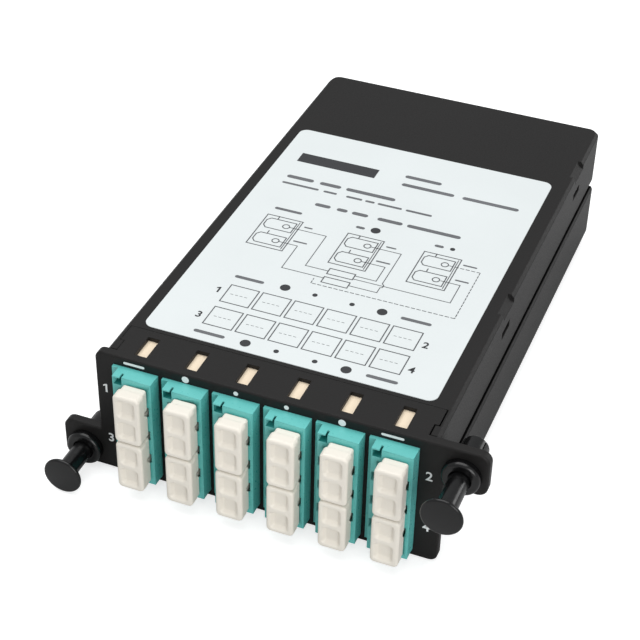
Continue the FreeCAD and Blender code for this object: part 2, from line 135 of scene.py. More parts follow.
def moulded(name, colour, roughness, grain, depth, variation=0.06, edge=0.15, specular=0.5):
    """A moulded plastic: a grain, a slow change of tone, softened edges."""
    material, tree, shader = new_material(name)
    tone = spread(tree, noise(tree, TONE_SCALE, TONE_DETAIL), 1.0 - variation, 1.0 + variation)
    tree.links.new(tinted(tree, colour, tone), shader.inputs["Base Color"])
    fine = noise(tree, grain, GRAIN_DETAIL, GRAIN_ROUGHNESS)
    tree.links.new(spread(tree, fine, roughness - GLOSS_CHANGE, roughness + GLOSS_CHANGE),
                   shader.inputs["Roughness"])
    shader.inputs["Specular IOR Level"].default_value = specular
    bevel = tree.nodes.new("ShaderNodeBevel")
    bevel.samples = BEVEL_SAMPLES
    bevel.inputs["Radius"].default_value = edge * MM
    bump = tree.nodes.new("ShaderNodeBump")
    bump.inputs["Strength"].default_value = depth
    bump.inputs["Distance"].default_value = GRAIN_HEIGHT * MM
    tree.links.new(fine, bump.inputs["Height"])
    tree.links.new(bevel.outputs["Normal"], bump.inputs["Normal"])
    tree.links.new(bump.outputs["Normal"], shader.inputs["Normal"])
    return material


def drawn_steel(name, colour):
    material, tree, shader = new_material(name)
    streaks = noise(tree, STEEL_SCALE, STEEL_DETAIL)
    tree.links.new(tinted(tree, colour, spread(tree, streaks, *STEEL_TONES)),
                   shader.inputs["Base Color"])
    tree.links.new(spread(tree, streaks, *STEEL_ROUGHNESS), shader.inputs["Roughness"])
    shader.inputs["Metallic"].default_value = 1.0
    return material


def printed(name, colour, variation=0.10):
    return moulded(name, colour, roughness=0.55, grain=5200.0, depth=0.10, variation=variation,
                   edge=0.01)


CASE = moulded("case_grain", (0.0100, 0.0093, 0.0090), roughness=0.48, grain=2600.0, depth=0.30,
               edge=0.4, specular=0.22)
FASTENER = moulded("fastener_nylon", (0.0030, 0.0030, 0.0032), roughness=0.20, grain=1500.0,
                   depth=0.08, edge=0.2, specular=0.42)
LABEL = moulded("label_film", (0.680, 0.718, 0.718), roughness=0.42, grain=1400.0, depth=0.06,
                variation=0.015, edge=0.05, specular=0.40)
AQUA = moulded("adapter_aqua", (0.125, 0.520, 0.490), roughness=0.32, grain=1300.0, depth=0.08,
               variation=0.04)
# Painted shade: a darker teal that stands in for the shade inside an adapter's key notch.
AQUA_PAINTED_SHADE = moulded("adapter_notch_painted_shade", (0.020, 0.235, 0.215), roughness=0.45, grain=1300.0,
                    depth=0.08, variation=0.04)
PLUG = moulded("plug_aqua", (0.10, 0.50, 0.46), roughness=0.38, grain=1300.0, depth=0.08,
               variation=0.04)
CREAM = moulded("clip_cream", (0.92, 0.77, 0.58), roughness=0.45, grain=1500.0, depth=0.08,
                variation=0.03)
CAP = moulded("cap_ivory", (0.80, 0.755, 0.672), roughness=0.42, grain=1200.0, depth=0.06,
              variation=0.02, specular=0.40)
CERAMIC = moulded("sleeve_zirconia", (0.88, 0.88, 0.85), roughness=0.22, grain=3000.0,
                  depth=0.03, variation=0.02)
INNER = moulded("inner_plastic", (0.70, 0.70, 0.67), roughness=0.48, grain=1800.0, depth=0.10,
                variation=0.03)
STEEL = drawn_steel("splitter_steel", (0.62, 0.62, 0.63))
BLACK_INK = printed("black_ink", (0.020, 0.021, 0.024))
GREY_INK = printed("grey_ink", (0.120, 0.124, 0.132))
LINE_INK = printed("line_ink", (0.085, 0.088, 0.095))
# Painted shade: a near-black for strips laid where the gap between the cover and the tray lies in
# shade.
SEAM_PAINTED_SHADE = moulded("gap_painted_shade", (0.0010, 0.0010, 0.0010), roughness=0.70, grain=2600.0,
                     depth=0.30, edge=0.01, specular=0.05)
WHITE_INK = printed("white_ink", (0.80, 0.80, 0.80), variation=0.05)

NODE_FINISH = {
    "case_plastic": CASE, "label_film": LABEL, "adapter_plastic": AQUA, "clip_plastic": CREAM,
    "cap_plastic": CAP, "fastener_plastic": FASTENER, "sleeve_ceramic": CERAMIC,
    "plug_plastic": PLUG, "inner_plastic": INNER, "splitter_steel": STEEL,
}


def finish_nodes():
    slots = {entry["node"]: entry["material_slot"] for entry in frame["record"]["subparts"]}
    for name, item in frame["nodes"].items():
        item.data.materials.clear()
        item.data.materials.append(NODE_FINISH[slots[name]])


# ---------------------------------------------------------------- smooth forms

# A form is a bmesh of lofted rings. Each of its vertices stores the way that the surface faces
# there, and a face uses it for its shading unless it lies further off than this cosine.
SEAM_COS = 0.6
CORNER_STEPS = 5
CIRCLE_STEPS = 48
BLOCK_STEPS = 3


def arc(offset, y, radius, start, stop, steps, hollow=False):
    """Part of a rounded edge: (offset outwards, y, way the surface faces) at each step."""
    entries = []
    for k in range(steps + 1):
        turn = math.radians(start + (stop - start) * k / steps)
        facing = turn + math.pi if hollow else turn
        entries.append((offset + radius * math.cos(turn), y - radius * math.sin(turn), facing))
    return entries


def soft_rectangle(x0, x1, z0, z1, radius):
    """Points round a rectangle with rounded corners, each with its outward direction."""
    points = []
    for x, z, start in ((x1 - radius, z0 + radius, -90), (x1 - radius, z1 - radius, 0),
                        (x0 + radius, z1 - radius, 90), (x0 + radius, z0 + radius, 180)):
        for k in range(CORNER_STEPS + 1):
            turn = math.radians(start + 90 * k / CORNER_STEPS)
            out = Vector((math.cos(turn), math.sin(turn)))
            points.append((Vector((x, z)) + out * radius, out))
    return points


def soft_circle(x, z, radius):
    """Points round a circle, each with its outward direction."""
    turns = [2 * math.pi * k / CIRCLE_STEPS for k in range(CIRCLE_STEPS)]
    outs = [Vector((math.cos(turn), math.sin(turn))) for turn in turns]
    return [(Vector((x, z)) + out * radius, out) for out in outs]


def new_form():
    mesh = bmesh.new()
    mesh.verts.layers.float_vector.new("facing")
    return mesh


def join(mesh, first, second):
    for i in range(len(first)):
        mesh.faces.new((first[i - 1], first[i], second[i], second[i - 1]))


def loft(mesh, outline, profile):
    """Rings of one outline along Y, joined in turn."""
    layer = mesh.verts.layers.float_vector["facing"]
    rings = []
    for offset, y, facing in profile:
        ring = []
        for point, out in outline:
            place = point + out * offset
            vertex = mesh.verts.new((place.x * MM, y * MM, place.y * MM))
            vertex[layer] = (out.x * math.cos(facing), -math.sin(facing),
                             out.y * math.cos(facing))
            ring.append(vertex)
        if rings:
            join(mesh, rings[-1], ring)
        rings.append(ring)
    return rings


def close_ends(mesh, rings):
    mesh.faces.new(rings[0])
    mesh.faces.new(rings[-1])


def soft_block(mesh, outline, front, rear, front_round, rear_round):
    """A block along Y with both of its ends rounded."""
    profile = arc(-front_round, front + front_round, front_round, 90, 0, BLOCK_STEPS)
    profile += arc(-rear_round, rear - rear_round, rear_round, 0, -90, BLOCK_STEPS)
    close_ends(mesh, loft(mesh, outline, profile))


def smooth_piece(node, mesh, material, body):
    """Turns a form into the piece that stands for a CAD node."""
    bmesh.ops.recalc_face_normals(mesh, faces=mesh.faces)
    layer = mesh.verts.layers.float_vector["facing"]
    facings = [Vector(vertex[layer]) for vertex in mesh.verts]
    mesh.verts.layers.float_vector.remove(layer)
    data = bpy.data.meshes.new(node + "_form")
    mesh.to_mesh(data)
    mesh.free()
    normals = []
    for face in data.polygons:
        face.use_smooth = True
        for index in face.vertices:
            facing = facings[index]
            normals.append(facing if facing.dot(face.normal) > SEAM_COS else face.normal.copy())
    data.normals_split_custom_set(normals)
    data.materials.append(material)
    piece = link_object(node + "_form", data)
    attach(piece, body)
    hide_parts(node)


# ---------------------------------------------------------------- dust caps

CAP_HEAD_DEEP = 2.8
CAP_NECK_DEEP = 1.6
CAP_CORNER = 1.1
CAP_PROUD = 0.12
CAP_EDGE = 0.65
CAP_EDGE_STEPS = 7
CAP_REAR_EDGE = 0.3
CAP_REAR_STEPS = 3
CAP_POCKET_ACROSS = (1.2, 5.0)
CAP_POCKET_SPAN = (0.8, 5.2)
CAP_POCKET_DEEP = 1.0
CAP_POCKET_CORNER = 0.8
CAP_POCKET_STEPS = 12
CAP_LIP = 0.45
CAP_FLOOR = 0.7
CAP_NECK_INSETS = (0.6, 0.25)
CAP_NECK_SPAN = (0.7, 6.45)
CAP_NECK_CORNER = 0.6
CAP_NECK_EDGE = 0.25
CAP_LEG_ACROSS = 3.3
CAP_LEG_UP = 3.125
CAP_LEG_HALF = 2.15
CAP_LEG_CORNER = 0.35
CAP_LEG_EDGE = 0.3
# The neck and the legs start this far inside what is in front of them, with this hidden edge.
CAP_SUNK = 0.4
CAP_SUNK_EDGE = 0.1


def dished(lip, floor, front, deep, steps):
    """An eased slope from a lip outside an outline down to a floor inside it."""
    entries = []
    for k in range(steps + 1):
        share = k / steps
        eased = share * share * (3 - 2 * share)
        fall = 6 * deep * share * (1 - share)
        entries.append((lip - share * (lip + floor), front + deep * eased,
                        math.atan2(lip + floor, -fall)))
    return entries


def close_front(mesh, rim, lower, upper):
    """The cap's front face, cut in two halves that meet between and beside the pockets."""
    half = len(rim) // 2
    mesh.faces.new(rim[:half] + upper[half - 1::-1] + lower[half - 1::-1])
    mesh.faces.new([rim[half - 1]] + rim[half:] + [rim[0], lower[0]] + lower[:half - 1:-1]
                   + [lower[half - 1], upper[0]] + upper[:half - 1:-1] + [upper[half - 1]])


def make_dust_cap(node):
    low, high = box_mm(node)
    left, right, front = low.x - CAP_PROUD, high.x + CAP_PROUD, low.y
    middle = (low.z + high.z) / 2
    back = front + CAP_HEAD_DEEP
    neck_back = back + CAP_NECK_DEEP
    mesh = new_form()
    head = loft(mesh, soft_rectangle(left, right, low.z, high.z, CAP_CORNER),
                arc(-CAP_EDGE, front + CAP_EDGE, CAP_EDGE, 90, 0, CAP_EDGE_STEPS)
                + arc(-CAP_REAR_EDGE, back - CAP_REAR_EDGE, CAP_REAR_EDGE, 0, -90,
                      CAP_REAR_STEPS))
    mesh.faces.new(head[-1])
    openings = []
    for side in (-1, 1):
        span = sorted(middle + side * height for height in CAP_POCKET_SPAN)
        across = (left + inset for inset in CAP_POCKET_ACROSS)
        pocket = loft(mesh, soft_rectangle(*across, *span, CAP_POCKET_CORNER),
                      dished(CAP_LIP, CAP_FLOOR, front, CAP_POCKET_DEEP, CAP_POCKET_STEPS))
        mesh.faces.new(pocket[-1])
        openings.append(pocket[0])
        span = sorted(middle + side * height for height in CAP_NECK_SPAN)
        neck = soft_rectangle(left + CAP_NECK_INSETS[0], right - CAP_NECK_INSETS[1], *span,
                              CAP_NECK_CORNER)
        soft_block(mesh, neck, back - CAP_SUNK, neck_back, CAP_SUNK_EDGE, CAP_NECK_EDGE)
        centre = middle + side * CAP_LEG_UP
        leg = soft_rectangle(left + CAP_LEG_ACROSS - CAP_LEG_HALF,
                             left + CAP_LEG_ACROSS + CAP_LEG_HALF,
                             centre - CAP_LEG_HALF, centre + CAP_LEG_HALF, CAP_LEG_CORNER)
        soft_block(mesh, leg, neck_back - CAP_SUNK, high.y, CAP_SUNK_EDGE, CAP_LEG_EDGE)
    close_front(mesh, head[0], *openings)
    smooth_piece(node, mesh, CAP, node)


# ---------------------------------------------------------------- adapters

NEAR = 0.02
WELD = 0.001
FLAT_ANGLE = 0.01
SHARP_ANGLE = math.radians(40)
BLOCK_LEFT_STEP = 1.25
BLOCK_RIGHT_STEP = 0.05
BLOCK_LEFT_TRIM = 0.3
BLOCK_DEEP = 2.9
BLOCK_EDGE = 0.35
BLOCK_EDGE_STEPS = 3
# The box of faces inside the key notch that get the painted shade.
NOTCH_ACROSS = (1.8, 3.85)
NOTCH_DOWN = (0.3, 2.2)
NOTCH_BEHIND = 0.3


def block_edges(mesh, low, high, sides):
    """The outer edges of an adapter's front block: round its front face and along its corners."""
    rear = low.y + BLOCK_DEEP + NEAR
    edges = []
    for edge in mesh.edges:
        ends = [vertex.co / MM for vertex in edge.verts]
        at_front = all(abs(end.y - low.y) < NEAR for end in ends)
        on_side = any(all(abs(end.x - side) < NEAR for end in ends) for side in sides)
        on_level = any(all(abs(end.z - level) < NEAR for end in ends)
                       for level in (low.z, high.z))
        if all(end.y < rear for end in ends) and at_front + on_side + on_level == 2:
            edges.append(edge)
    return edges


def make_adapter_form(node):
    """A copy of the adapter: rounded front block, narrower on its left, and painted shade in its
    notch.
    """
    low, high = box_mm(node)
    mesh = bmesh.new()
    mesh.from_mesh(frame["nodes"][node].data)
    bmesh.ops.remove_doubles(mesh, verts=mesh.verts, dist=WELD * MM)
    bmesh.ops.dissolve_limit(mesh, angle_limit=FLAT_ANGLE, verts=mesh.verts, edges=mesh.edges)
    left, right = low.x + BLOCK_LEFT_STEP, high.x - BLOCK_RIGHT_STEP
    for vertex in mesh.verts:
        if abs(vertex.co.x / MM - left) < NEAR and vertex.co.y / MM < low.y + BLOCK_DEEP + NEAR:
            vertex.co.x += BLOCK_LEFT_TRIM * MM
    edges = block_edges(mesh, low, high, (left + BLOCK_LEFT_TRIM, right))
    bmesh.ops.bevel(mesh, geom=edges, offset=BLOCK_EDGE * MM, offset_type="OFFSET",
                    segments=BLOCK_EDGE_STEPS, profile=0.5, affect="EDGES", clamp_overlap=True)
    data = bpy.data.meshes.new(node + "_form")
    mesh.to_mesh(data)
    mesh.free()
    data.set_sharp_from_angle(angle=SHARP_ANGLE)
    data.materials.append(AQUA)
    data.materials.append(AQUA_PAINTED_SHADE)
    for face in data.polygons:
        centre = face.center / MM
        if (NOTCH_ACROSS[0] < centre.x - low.x < NOTCH_ACROSS[1]
                and NOTCH_DOWN[0] < high.z - centre.z < NOTCH_DOWN[1]
                and centre.y > low.y + NOTCH_BEHIND):
            # These faces take the painted shade.
            face.material_index = 1
    piece = link_object(node + "_form", data)
    weighted = piece.modifiers.new("weighted", "WEIGHTED_NORMAL")
    weighted.keep_sharp = True
    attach(piece, "housing")
    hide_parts(node)


# ---------------------------------------------------------------- case seams

# Places along Y are counted from the front of the face plate.
HOOK_X = (36.1, 37.1)
HOOK_TOP = 31.0
HOOK_JOG = 5.7
HOOK_REAR = 11.3
HOOK_OPEN = 0.25
SLOT_LEVELS = (26.7, 27.7)
SLOT_OPEN = (-0.45, 0.55)
# Where the strips of painted shade lie on the tray's ledge, below the gap.
LEDGE_ACROSS = (37.0, 38.68)
LEDGE_ALONG = (2.4, 133.4)
LEDGE_UP = 18.2


def make_cover_form():
    """A copy of the cover with a wider hooked seam on the right and higher snap slots."""
    front = box_mm("front_bezel")[0].y
    data = frame["nodes"]["top_cover"].data.copy()
    data.name = "top_cover_form"
    for vertex in data.vertices:
        x, y, z = vertex.co / MM
        y -= front
        if z > HOOK_TOP and y < HOOK_REAR and any(abs(x - edge) < NEAR for edge in HOOK_X):
            vertex.co.x += HOOK_OPEN * MM
            if abs(y - HOOK_JOG) < NEAR:
                vertex.co.y -= HOOK_OPEN * MM
        for level, step in zip(SLOT_LEVELS, SLOT_OPEN):
            if abs(z - level) < NEAR:
                vertex.co.z += step * MM
    data.materials.clear()
    data.materials.append(CASE)
    piece = link_object("top_cover_form", data)
    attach(piece, "housing")
    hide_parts("top_cover")


def make_ledge_painted_shades():
    """Painted shade: black strips laid on the floor of the gap between the cover and the tray."""
    front = box_mm("front_bezel")[0].y

    def place(u, v, height):
        return Vector((u * MM, v * MM, LEDGE_UP * MM + INK_LIFT + height))

    for name, side in (("left", -1), ("right", 1)):
        x0, x1 = sorted(side * edge for edge in LEDGE_ACROSS)
        y0, y1 = (front + along for along in LEDGE_ALONG)
        mesh = bmesh.new()
        flat_prism(mesh, rectangle(x0, x1, y0, y1), place)
        mesh_piece("ledge_painted_shade_" + name, mesh, SEAM_PAINTED_SHADE)


# ---------------------------------------------------------------- fasteners

KNOB_THICK = 1.2
KNOB_DOME = 0.2
KNOB_DOME_SHARES = (0.2, 0.45, 0.7, 0.9, 1.0)
KNOB_RIM_TURNS = (80, -90)
KNOB_RIM_STEPS = 12
KNOB_FLARE = 1.0
KNOB_FLARE_STEPS = 6
PIN_R = 2.3
TIP_ROUND = 0.5
TIP_STEPS = 4
BORE_R = 2.35
MOUTH_ROUND = 0.3
MOUTH_STEPS = 4
WASHER_ROUND = 0.95
WASHER_STEPS = 8
WASHER_DEEP = 2.1
WASHER_REAR_ROUND = 0.15
SHANK_R = 2.7
SHANK_ROUND = 0.1
SHANK_STEPS = 2
BARREL_R = 3.0
BARREL_START = 4.3
SPLIT_START = 5.5
SPLIT_SUNK = 0.1
SPLIT_HALF = 0.15
PRONG_STARTS = (-45, 45, 135, 225)
PRONG_STEPS = 12
PRONG_TIP_STOP = -80


def make_plunger(node):
    """The domed knob, the flare behind it and the pin, turned as one profile."""
    low, high = box_mm(node)
    radius = (high.x - low.x) / 2
    rim = (KNOB_THICK - KNOB_DOME) / 2
    knob_back = low.y + KNOB_THICK
    flat = radius - rim
    profile = []
    for share in KNOB_DOME_SHARES:
        slope = 2 * KNOB_DOME * share / flat
        profile.append((flat * share - radius, low.y + KNOB_DOME * share * share,
                        math.pi / 2 - math.atan(slope)))
    profile += arc(-rim, low.y + KNOB_DOME + rim, rim, *KNOB_RIM_TURNS, KNOB_RIM_STEPS)
    profile += arc(PIN_R + KNOB_FLARE - radius, knob_back + KNOB_FLARE, KNOB_FLARE, 90, 180,
                   KNOB_FLARE_STEPS, hollow=True)
    profile += arc(PIN_R - radius - TIP_ROUND, high.y - TIP_ROUND, TIP_ROUND, 0, -90, TIP_STEPS)
    mesh = new_form()
    outline = soft_circle((low.x + high.x) / 2, (low.z + high.z) / 2, radius)
    close_ends(mesh, loft(mesh, outline, profile))
    smooth_piece(node, mesh, FASTENER, node)


def prong_outline(x, z, first, last):
    """Outside and inside of one prong; only the outside faces outwards."""
    points = []
    for radius, ends, shown in ((BARREL_R, (first, last), 1.0), (BORE_R, (last, first), 0.0)):
        trim = math.asin(SPLIT_HALF / radius) * (1 if ends[0] < ends[1] else -1)
        start, stop = math.radians(ends[0]) + trim, math.radians(ends[1]) - trim
        for k in range(PRONG_STEPS + 1):
            turn = start + (stop - start) * k / PRONG_STEPS
            out = Vector((math.cos(turn), math.sin(turn)))
            points.append((Vector((x, z)) + out * radius, out * shown))
    return points


def make_grommet(node):
    """The washer, shank and start of the barrel as one turned tube, then four prongs."""
    low, high = box_mm(node)
    x, z, radius, front = (low.x + high.x) / 2, (low.z + high.z) / 2, (high.x - low.x) / 2, low.y
    washer_back = front + WASHER_DEEP
    shank_end, split = front + BARREL_START, front + SPLIT_START
    profile = [(BORE_R - radius, split, math.pi)]
    profile += arc(BORE_R + MOUTH_ROUND - radius, front + MOUTH_ROUND, MOUTH_ROUND, 180, 90,
                   MOUTH_STEPS)
    profile += arc(-WASHER_ROUND, front + WASHER_ROUND, WASHER_ROUND, 90, 0, WASHER_STEPS)
    profile += arc(-WASHER_REAR_ROUND, washer_back - WASHER_REAR_ROUND, WASHER_REAR_ROUND, 0, -90,
                   SHANK_STEPS)
    profile += arc(SHANK_R + SHANK_ROUND - radius, washer_back + SHANK_ROUND, SHANK_ROUND, 90, 180,
                   SHANK_STEPS, hollow=True)
    profile += arc(SHANK_R + SHANK_ROUND - radius, shank_end - SHANK_ROUND, SHANK_ROUND, 180, 270,
                   SHANK_STEPS, hollow=True)
    profile += arc(BARREL_R - SHANK_ROUND - radius, shank_end + SHANK_ROUND, SHANK_ROUND, 90, 0,
                   SHANK_STEPS)
    profile += [(BARREL_R - radius, split, 0.0)]
    mesh = new_form()
    rings = loft(mesh, soft_circle(x, z, radius), profile)
    join(mesh, rings[-1], rings[0])
    prong = [(0.0, split - SPLIT_SUNK, 0.0)]
    prong += arc(-TIP_ROUND, high.y - TIP_ROUND, TIP_ROUND, 0, PRONG_TIP_STOP, TIP_STEPS)
    for first in PRONG_STARTS:
        close_ends(mesh, loft(mesh, prong_outline(x, z, first, first + 90), prong))
    smooth_piece(node, mesh, FASTENER, "housing")


def make_small_forms():
    for name in frame["nodes"]:
        if name.startswith("dust_cap"):
            make_dust_cap(name)
        elif name.startswith("adapter") and "clip" not in name:
            make_adapter_form(name)
    for side in ("left", "right"):
        make_plunger("plunger_" + side)
        make_grommet("grommet_" + side)


# ---------------------------------------------------------------- flat print

# Ink is a thin slab, lifted off what it is printed on. These two lengths are in metres.
INK_LIFT = 0.01 * MM
INK_DEPTH = 0.03 * MM
DOT_STEPS = 32
BAR_END_STEPS = 6
BAR_SHARE = 0.55
DASH_LEAST = 0.1
MITRE_LEAST = 0.3
FIGURE_ONE = ((0.10, -0.5), (0.10, 0.5), (-0.06, 0.5), (-0.34, 0.34), (-0.34, 0.17), (-0.10, 0.29),
              (-0.10, -0.5))
FIGURE_SHARE = 0.70
FIGURE_STROKE = 0.025


def flat_prism(mesh, outline, place):
    """A closed slab over an outline; place turns (u, v, height) into a point."""
    low = [mesh.verts.new(place(u, v, 0.0)) for u, v in outline]
    high = [mesh.verts.new(place(u, v, INK_DEPTH)) for u, v in outline]
    count = len(outline)
    mesh.faces.new(high)
    mesh.faces.new(list(reversed(low)))
    for i in range(count):
        j = (i + 1) % count
        mesh.faces.new((low[i], low[j], high[j], high[i]))


def line_sides(points, width, closed):
    """The points of a line moved half its width to the left and to the right."""
    count = len(points)
    left, right = [], []
    for i in range(count):
        here = Vector(points[i])
        before = Vector(points[i - 1]) if closed or i > 0 else None
        after = Vector(points[(i + 1) % count]) if closed or i < count - 1 else None
        arriving = (here - before).normalized() if before is not None else None
        leaving = (after - here).normalized() if after is not None else None
        arriving = arriving or leaving
        leaving = leaving or arriving
        normal = Vector((-arriving.y - leaving.y, arriving.x + leaving.x)).normalized()
        reach = width / 2 / max(MITRE_LEAST, normal.dot(Vector((-leaving.y, leaving.x))))
        left.append(here + normal * reach)
        right.append(here - normal * reach)
    return left, right


def ribbon(mesh, points, width, place, closed=False):
    """A line of one width with mitred corners, as one closed slab."""
    rows = []
    for side in line_sides(points, width, closed):
        for height in (0.0, INK_DEPTH):
            rows.append([mesh.verts.new(place(p.x, p.y, height)) for p in side])
    left_low, left_high, right_low, right_high = rows
    count = len(points)
    for i in range(count if closed else count - 1):
        j = (i + 1) % count
        mesh.faces.new((right_high[i], right_high[j], left_high[j], left_high[i]))
        mesh.faces.new((left_low[i], left_low[j], right_low[j], right_low[i]))
        mesh.faces.new((left_high[i], left_high[j], left_low[j], left_low[i]))
        mesh.faces.new((right_low[i], right_low[j], right_high[j], right_high[i]))
    if not closed:
        mesh.faces.new((left_high[0], right_high[0], right_low[0], left_low[0]))
        mesh.faces.new((left_low[-1], right_low[-1], right_high[-1], left_high[-1]))


def rectangle(x0, x1, y0, y1):
    return [(x0, y0), (x1, y0), (x1, y1), (x0, y1)]


def circle(x, y, radius):
    turns = [2 * math.pi * k / DOT_STEPS for k in range(DOT_STEPS)]
    return [(x + radius * math.cos(turn), y + radius * math.sin(turn)) for turn in turns]


def dashes(start, end, dash, gap):
    """Short pieces of a straight line."""
    start, end = Vector(start), Vector(end)
    length = (end - start).length
    along = (end - start) / length
    pieces = []
    place = 0.0
    while place < length - DASH_LEAST * dash:
        stop = min(place + dash, length)
        pieces.append([tuple(start + along * place), tuple(start + along * stop)])
        place = stop + gap
    return pieces


def word_bar(x0, x1, y, height):
    """A word as one plain bar with round ends and no lettering."""
    radius = BAR_SHARE * height / 2
    middle = y + height / 2
    turns = [math.pi * k / BAR_END_STEPS for k in range(BAR_END_STEPS + 1)]
    right = [(x1 - radius + radius * math.sin(turn), middle - radius * math.cos(turn))
             for turn in turns]
    left = [(x0 + radius - radius * math.sin(turn), middle + radius * math.cos(turn))
            for turn in turns]
    return right + left


def mesh_piece(name, mesh, material):
    bmesh.ops.recalc_face_normals(mesh, faces=mesh.faces)
    data = bpy.data.meshes.new(name)
    mesh.to_mesh(data)
    mesh.free()
    data.materials.append(material)
    piece = link_object(name, data)
    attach(piece, "housing")


def numeral(name, text, height, matrix, material):
    """A plain figure of a height in metres, standing where matrix puts it."""
    if text == "1":
        mesh = bmesh.new()
        flat_prism(mesh, [(height * u, height * v) for u, v in FIGURE_ONE],
                   lambda u, v, lift: matrix @ Vector((u, v, lift - INK_DEPTH / 2)))
        mesh_piece(name, mesh, material)
        return
    curve = bpy.data.curves.new(name, "FONT")
    curve.body = text
    curve.size = height / FIGURE_SHARE
    curve.align_x = "CENTER"
    curve.align_y = "CENTER"
    curve.extrude = INK_DEPTH / 2
    curve.offset = FIGURE_STROKE * height
    letter = link_object(name + "_curve", curve)
    bpy.context.view_layer.update()
    data = bpy.data.meshes.new_from_object(letter.evaluated_get(
        bpy.context.evaluated_depsgraph_get()))
    bpy.data.objects.remove(letter)
    data.transform(matrix)
    data.name = name
    data.materials.clear()
    data.materials.append(material)
    piece = link_object(name, data)
    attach(piece, "housing")


# ---------------------------------------------------------------- label

# Places are across from the label's middle and up from its front edge.
LINE = 0.26
THIN = 0.20
FINE = 0.10
BIG_DOT = 1.22
SMALL_DOT = 0.62
CELL_ROWS = (5.8, 14.9)
CELL_STATIONS = (-2.5, -1.5, -0.5, 0.5, 1.5, 2.5)
CELL_PITCH = 7.95
CELL_MIDDLE = 0.5
CELL_WIDE = 7.0
CELL_TALL = 6.8
CELL_DASH_INSET = 1.2
CELL_DASH_UP = 3.4
CELL_DASH = (0.7, 0.45)
DOT_ROWS = (2.8, 25.5)
DOT_PAIRS = ((0.8, 11.9, BIG_DOT), (0.85, 4.55, SMALL_DOT))
LONE_DOTS = ((-0.1, 55.9, BIG_DOT), (19.6, 55.7, SMALL_DOT))
PAIR_LEFTS = (-26.9, -5.8, 13.7)
PAIR_LOW = 38.9
PAIR_WIDE = 9.3
PAIR_TALL = 13.4
PAIR_RULE_ACROSS = 8.7
PAIR_RULE_INSET = 0.5
PORT_UPS = (3.4, 10.0)
PORT_DROP = 2.1
PORT_OUTLINE = ((1.5, 0.0), (8.2, 0.0), (8.2, 4.2), (1.5, 4.2), (0.7, 3.2), (0.7, 1.0))
PORT_EYE_ACROSS = 6.2
PORT_EYE_R = 0.85
PORT_TICK_ACROSS = 3.1
PORT_TICK_UPS = (4.4, 5.6)
COUPLER_ACROSS = (-4.4, 2.0)
COUPLER_LOWS = (30.9, 34.5)
COUPLER_TALL = 2.3
WIRES = (
    ((-19.9, 48.9), (-10.2, 48.9), (-10.2, 35.6), (-4.4, 35.6)),
    ((-19.9, 42.3), (-15.0, 42.3), (-15.0, 32.6), (-4.4, 32.6)),
    ((1.4, 42.3), (7.3, 42.3), (7.3, 36.2), (2.0, 36.2)),
    ((1.4, 48.9), (9.0, 48.9), (9.0, 35.7), (9.5, 35.4), (9.5, 34.4), (9.0, 34.1), (9.0, 32.0),
     (2.0, 32.0)),
    ((21.0, 42.3), (25.8, 42.3), (25.8, 34.9), (2.0, 34.9)),
)
DASHED_WIRE = ((21.0, 48.9), (28.6, 48.9), (28.6, 29.6), (-6.4, 29.6), (-6.4, 31.6))
WIRE_DASH = (1.0, 0.35)
MARK_BLOCK = (-30.0, -8.8, 78.2, 82.4)
LABEL_FIGURES = (("1", -24.8, 18.8), ("2", 25.8, 17.6), ("3", -25.0, 8.4), ("4", 25.8, 8.2))
LABEL_FIGURE_TALL = 2.1
# Each row of words: how far up, how tall, and where each word starts and ends.
LABEL_WORDS = (
    (77.2, 2.3, ((-1.3, 12.6), (14.8, 29.4))),
    (81.1, 2.3, ((-1.7, 8.0),)),
    (69.4, 2.4, ((-29.5, -22.2), (-20.5, -14.8), (-13.4, -0.3))),
    (66.7, 1.4, ((-29.5, -19.6), (-18.3, -14.7), (-12.2, -7.9), (-7.1, -4.6), (-3.8, 2.6),
                 (3.6, 10.4))),
    (59.9, 2.3, ((-18.0, -13.9), (-12.2, -9.4), (-8.2, -4.0), (-1.5, 5.0), (6.2, 19.9))),
    (54.8, 1.7, ((-26.5, -19.3), (-5.1, -2.8), (15.1, 17.4))),
    (50.0, 0.9, ((-16.6, -14.4), (4.6, 7.2), (23.9, 27.4))),
    (43.5, 0.9, ((-16.8, -13.2), (4.4, 8.0), (24.0, 27.4))),
    (24.3, 1.8, ((-23.6, -16.3), (17.3, 24.6))),
    (1.9, 1.8, ((-23.6, -16.1), (17.3, 24.6))),
)


def draw_cells(mesh, place):
    """Two rows of six cells, each with a dashed line through its middle."""
    for row in CELL_ROWS:
        for station in CELL_STATIONS:
            left = CELL_MIDDLE + station * CELL_PITCH - CELL_WIDE / 2
            right = left + CELL_WIDE
            ribbon(mesh, rectangle(left, right, row, row + CELL_TALL), LINE, place, closed=True)
            up = row + CELL_DASH_UP
            for piece in dashes((left + CELL_DASH_INSET, up), (right - CELL_DASH_INSET, up),
                                *CELL_DASH):
                ribbon(mesh, piece, FINE, place)


def draw_port_pairs(mesh, place):
    """Three pairs of ports, each port with a plug's outline, an eye and a tick."""
    top = PAIR_LOW + PAIR_TALL
    for left in PAIR_LEFTS:
        ribbon(mesh, rectangle(left, left + PAIR_WIDE, PAIR_LOW, top), LINE, place, closed=True)
        rule = left + PAIR_RULE_ACROSS
        ribbon(mesh, [(rule, PAIR_LOW + PAIR_RULE_INSET), (rule, top - PAIR_RULE_INSET)], THIN,
               place)
        for up in PORT_UPS:
            middle = PAIR_LOW + up
            base = middle - PORT_DROP
            ribbon(mesh, [(left + u, base + v) for u, v in PORT_OUTLINE], LINE, place,
                   closed=True)
            ribbon(mesh, circle(left + PORT_EYE_ACROSS, middle, PORT_EYE_R), LINE, place,
                   closed=True)
            ribbon(mesh, [(left + PORT_TICK_ACROSS, base + tick) for tick in PORT_TICK_UPS], LINE,
                   place)


